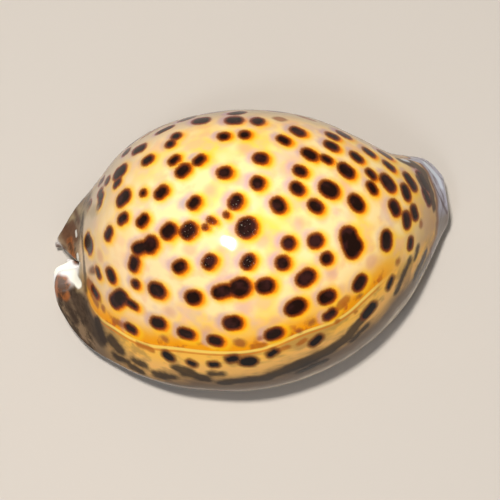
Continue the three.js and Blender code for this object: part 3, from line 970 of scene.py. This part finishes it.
flank = paint(rgb(252, 190, 78), rgb(242, 184, 100), fade(line, -6.0, -2.0))
flank = paint_layer(flank, "above_line", rgb(116, 94, 74), middling_clouds, 4.0, -13.0, -6.0)
flank = paint_layer(flank, "above_line", rgb(214, 194, 164), middling_clouds, 5.0, -22.0, -16.5)
flank = paint(flank, rgb(96, 78, 64), fade(noise(5.0, 3.0, 0.6, (0.4, 1, 1)), 0.62, 0.45), 0.45)
flank = paint(flank, rgb(112, 92, 72), fade(crease, -0.5, -7.0))
crisp_edge, soft_edge = fade(line, -0.4, 0.2), fade(from_line, -4.0, 3.0)
ground = paint(ground, flank, paint(crisp_edge, soft_edge, fade(past_line, 2.0, -4.0)))
far_flank = paint(rgb(190, 160, 120), rgb(126, 102, 80), fade(middling_clouds, 0.62, 0.45), 0.6)
ground = paint(ground, far_flank, fade(from_far_flank, -6.0, 4.0))
print("with the flanks", len(nodes))

# %% [markdown]
# The mantle line itself is a fine pale seam with a thin orange line below it. Its ends fade into the
# glaze.

# %% The mantle line
BELOW_SEAM = 0.8  # mm
line_fade = fade(past_line, -5.0, 0.0)
on_line = both(fade(calculate("ABSOLUTE", line), 0.15, 0.55), line_fade)
under_line = calculate("ABSOLUTE", calculate("ADD", line, BELOW_SEAM))
ground = paint(ground, rgb(214, 120, 26), both(fade(under_line, 0.1, 0.45), line_fade), 0.7)
ground = paint(ground, rgb(252, 214, 104), on_line, 0.9)
print("with the mantle line", len(nodes))

# %% [markdown]
# Each dark drop has a black-brown core, a red-brown edge and, mostly on the side towards the front of
# the shell, a ring of strong orange-yellow. On its other side lies a faint lilac shade, where the drop
# shows through the glaze. The rings are left out below the mantle line, along the far edge and at the
# front end, where the glaze is greyer.

# %% The spots
spot = uneven(uneven(layer("spot"), edge_clouds, 0.4), fine_grain, 0.3)
halo = uneven(layer("halo"), edge_clouds, 0.5)
shade = uneven(layer("shade"), edge_clouds, 0.8)
on_back = fade(line, 0.0, -2.0)
bright_halo = both(both(on_back, fade(pearl_edge, -7.0, -2.5)), fade(from_far_flank, 15.0, 3.0))

colour = paint(ground, rgb(198, 158, 162), both(fade(shade, -0.4, 1.2), on_back), 0.85)
colour = paint_layer(colour, "lilac_cloud", rgb(222, 160, 126), middling_clouds, 1.6, -0.9, 0.9, 0.6)
colour = paint_layer(colour, "grey_smear", rgb(180, 160, 160), edge_clouds, 1.0, -1.0, 0.8, 0.75)
colour = paint(colour, rgb(255, 194, 22), both(fade(halo, 0.1, 1.5), bright_halo), 0.85)
colour = paint(colour, rgb(250, 130, 0), both(fade(halo, -0.25, 0.5), bright_halo), 0.88)
colour = paint_layer(colour, "brown_drop", rgb(150, 78, 38), edge_clouds, 0.9, -0.6, 0.5, 0.8)
colour = paint(colour, rgb(134, 42, 14), fade(spot, -0.05, 0.55), 0.85)
core = paint(rgb(34, 19, 14), rgb(56, 29, 26), fade(noise(2.6, 2.0), 0.70, 0.46))
colour = paint(colour, core, fade(spot, -0.65, 0.35))
print("with the drops", len(nodes))

# %% [markdown]
# Round the crown, near the mirrored lamp, fine pale flecks are painted in, mostly in the dark drops:
# painted highlights, the lamp glinting in faint scratches of the glaze.

# %% Painted glints round the crown
GLINTING_PATCHES = [
    (245, 228, 2.4), (190, 230, 1.6), (214, 222, 2.2), (206, 262, 1.2), (248, 262, 1.2),
    (235, 202, 1.2),
]
keep(shell.data, "glinting", distance_to(strokes_on_shell(GLINTING_PATCHES)))
glint_fleck = both(fade(noise(0.3, 1.0), 0.74, 0.66), fade(layer("glinting"), -0.6, 0.8))
# pale flecks of painted highlight: the lamp glinting in scratches of the glaze
colour = paint(colour, rgb(170, 158, 142), glint_fleck, 0.6)
print(len(GLINTING_PATCHES), "worn patches")

# %% [markdown]
# The blots on the near flank have soft, ragged edges, drawn out along the shell. The black ones lie on
# top, each with a thin rim of red-brown, and a few rusty smears lie between.

# %% The blots on the flank
long_clouds = noise(2.6, 3.0, 0.6, (0.45, 1, 1))
colour = paint_layer(colour, "flank_grey", rgb(38, 31, 30), long_clouds, 2.4, -0.5, 0.9, 0.9)
colour = paint_layer(colour, "flank_rust", rgb(176, 92, 26), edge_clouds, 0.6, -0.2, 0.6, 0.8)
colour = paint_layer(colour, "flank_black", rgb(120, 54, 22), edge_clouds, 0.6, 0.1, 0.8, 0.8)
colour = paint_layer(colour, "flank_black", rgb(26, 20, 20), edge_clouds, 0.6, -0.4, 0.3)
print("with the blots", len(nodes))

# %% [markdown]
# Both ends are streaked along the shell. Behind the crease a dark brown collar goes round the back
# notch. The front canal has a dark edge and a pearly glaze past it, browner on the near side. Then the
# base and the mouth are painted white, over whatever ran down there.

# %% The two ends, the base and the mouth
streaks = noise(1.6, 4.0, 0.65, (0.5, 0.35, 1))
collar = paint(rgb(124, 100, 76), rgb(62, 50, 40), fade(streaks, 0.60, 0.42))
colour = paint_layer(colour, "past_crease", collar, edge_clouds, 1.0, 0.9, -0.6, 0.92)
colour = paint_layer(colour, "front_brown", rgb(56, 38, 32), streaks, 1.2, -0.2, 0.8, 0.9)

pearl = paint(rgb(186, 182, 194), rgb(140, 130, 136), fade(streaks, 0.64, 0.45))
past_edge = uneven(pearl_edge, streaks, 1.2)
on_pearl = fade(past_edge, 0.8, -0.1)
near_side = fade(uneven(line, streaks, 8.0), -2.0, 16.0)
colour = paint(colour, rgb(104, 52, 36), fade(past_edge, -0.1, -0.7), 0.75)
colour = paint(colour, pearl, on_pearl)
colour = paint(colour, rgb(136, 122, 108), both(near_side, on_pearl), 0.85)
colour = paint(colour, rgb(240, 232, 216), layer("on_base"))
colour = paint(colour, rgb(236, 230, 224), fade(layer("outer_skin"), 0.35, 0.9))
print("with the ends and the base", len(nodes))

# %% [markdown]
# Last come the small marks at both ends, each in its own colour: tan, brown and dark streaks beside the
# crease, the bare white and the rust of the notch, and a few pale gleams. One of the brown strokes is
# painted shadow at the notch's tip. They differ only in numbers, so a loop paints them.

# %% Small marks at the ends
rust = paint(rgb(146, 84, 44), rgb(84, 56, 38), fade(streaks, 0.60, 0.46))
END_MARKS = [  # layer, colour, cloud, unevenness, full at and gone at (mm), strength
    ("notch_tan", rgb(172, 150, 112), edge_clouds, 2.4, -0.6, 1.6, 0.6),
    ("notch_brown_and_shadow", rgb(92, 60, 42), streaks, 1.4, -0.3, 0.8, 0.85),
    ("notch_dark", rgb(58, 46, 38), streaks, 1.4, -0.3, 0.8, 0.8),
    ("notch_white", rgb(248, 242, 224), streaks, 0.8, 0.0, 0.6, 1.0),
    ("notch_rust", rust, streaks, 0.8, -0.3, 0.7, 0.9),
    ("notch_glint", rgb(236, 230, 216), streaks, 0.0, 0.0, 0.3, 0.7),
    ("front_seam", rgb(96, 76, 74), streaks, 0.0, 0.0, 0.4, 0.7),
    ("front_glint", rgb(226, 232, 240), streaks, 0.8, -0.2, 0.7, 0.85),
]
for end_mark in END_MARKS:
    colour = paint_layer(colour, *end_mark)
links.new(colour, shader.inputs["Base Color"])
print(len(END_MARKS), "kinds of small marks")

# %% [markdown]
# The glaze is smooth and hard like porcelain: a low roughness with a thin clear coat. The faintest
# unevenness in the surface breaks up the edge of the mirrored lamp.

# %% Gloss and surface
RIPPLE_SIZE = 2.5
shader.inputs["Roughness"].default_value = 0.14
shader.inputs["IOR"].default_value = 1.5
shader.inputs["Specular IOR Level"].default_value = 0.03
shader.inputs["Coat Weight"].default_value = 0.1
shader.inputs["Coat Roughness"].default_value = 0.03
ripple = nodes.new("ShaderNodeBump")
ripple.inputs["Strength"].default_value = 0.12
ripple.inputs["Distance"].default_value = 0.15 * MM
links.new(noise(RIPPLE_SIZE, 3.0), ripple.inputs["Height"])
links.new(ripple.outputs["Normal"], shader.inputs["Normal"])
links.new(ripple.outputs["Normal"], shader.inputs["Coat Normal"])
shell.data.materials.append(glaze)
print(len(nodes), "nodes in the glaze")

# %% [markdown]
# The shell rests on a plain pale floor, large enough to reach past the picture on every side.

# %% The floor
FLOOR_SIZE = 6.0
FLOOR_COLOUR = (0.52, 0.46, 0.395, 1)
bpy.ops.object.select_all(action="DESELECT")
bpy.ops.mesh.primitive_plane_add(size=FLOOR_SIZE)
floor = bpy.context.object
floor.name = "floor"
floor_finish = bpy.data.materials.new("pale_floor")
floor_finish.use_nodes = True
floor_paint = floor_finish.node_tree.nodes["Principled BSDF"]
floor_paint.inputs["Base Color"].default_value = FLOOR_COLOUR
floor_paint.inputs["Roughness"].default_value = 0.9
floor.data.materials.append(floor_finish)
print("the floor is", FLOOR_SIZE, "m across")

# %% [markdown]
# One lamp, a little above the camera and to its left, lights the shell and leaves a narrow shadow with a
# soft edge along its near side. A second lamp only mirrors: it is the small window of light on the crown,
# and it stands where its mirror image shows in the right place. A broad weak lamp below the camera and
# the cool surroundings open up the shaded flank.

# %% The lights
LAMP_DISTANCE = 0.6
KEY_ABOVE_CAMERA = 13.0  # degrees, in the picture
KEY_LEFT_OF_CAMERA = 6.0
KEY_SIZE = 0.05
KEY_POWER = 4.15
GLINT_SIZE = 0.085
GLINT_POWER = 14.0
FILL_BELOW_CAMERA = 8.0
FILL_SIZE = 0.8
FILL_POWER = 0.5
SURROUNDINGS = (0.9, 0.95, 1.0, 1)
SURROUNDINGS_STRENGTH = 0.2


def add_lamp(name, direction, size, power):
    """A square lamp that stands in a direction from the shell and faces it."""
    bpy.ops.object.light_add(type="AREA", location=LOOKED_AT + direction * LAMP_DISTANCE)
    lamp = bpy.context.object
    lamp.name = name
    lamp.rotation_euler = direction.to_track_quat("Z", "Y").to_euler()
    lamp.data.shape = "SQUARE"
    lamp.data.size = size
    lamp.data.energy = power
    return lamp


to_key = (
    towards_camera
    + picture_up * np.tan(np.radians(KEY_ABOVE_CAMERA))
    - picture_right * np.tan(np.radians(KEY_LEFT_OF_CAMERA))
).normalized()
key_lamp = add_lamp("key_lamp", to_key, KEY_SIZE, KEY_POWER)
key_lamp.visible_glossy = False

glint, glint_normal, _, _ = shell_surface.ray_cast(eye, sight_line(GLINT_PIXEL))
to_eye = (eye - glint).normalized()
to_glint_lamp = (2 * to_eye.dot(glint_normal) * glint_normal - to_eye).normalized()
glint_lamp = add_lamp("glint_lamp", to_glint_lamp, GLINT_SIZE, GLINT_POWER)
glint_lamp.visible_diffuse = False
to_fill = (towards_camera - picture_up * np.tan(np.radians(FILL_BELOW_CAMERA))).normalized()
fill_lamp = add_lamp("fill_lamp", to_fill, FILL_SIZE, FILL_POWER)
fill_lamp.visible_glossy = False
print("the key lamp stands towards", [round(v, 2) for v in to_key])
print("the glint lamp stands towards", [round(v, 2) for v in to_glint_lamp])

world = bpy.data.worlds.new("studio")
world.use_nodes = True
world.node_tree.nodes["Background"].inputs["Color"].default_value = SURROUNDINGS
world.node_tree.nodes["Background"].inputs["Strength"].default_value = SURROUNDINGS_STRENGTH
world.cycles_visibility.glossy = False
bpy.context.scene.world = world
bpy.context.scene.view_settings.view_transform = "Standard"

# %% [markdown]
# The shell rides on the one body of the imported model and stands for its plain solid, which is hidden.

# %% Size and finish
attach(shell, "root")
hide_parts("shell")
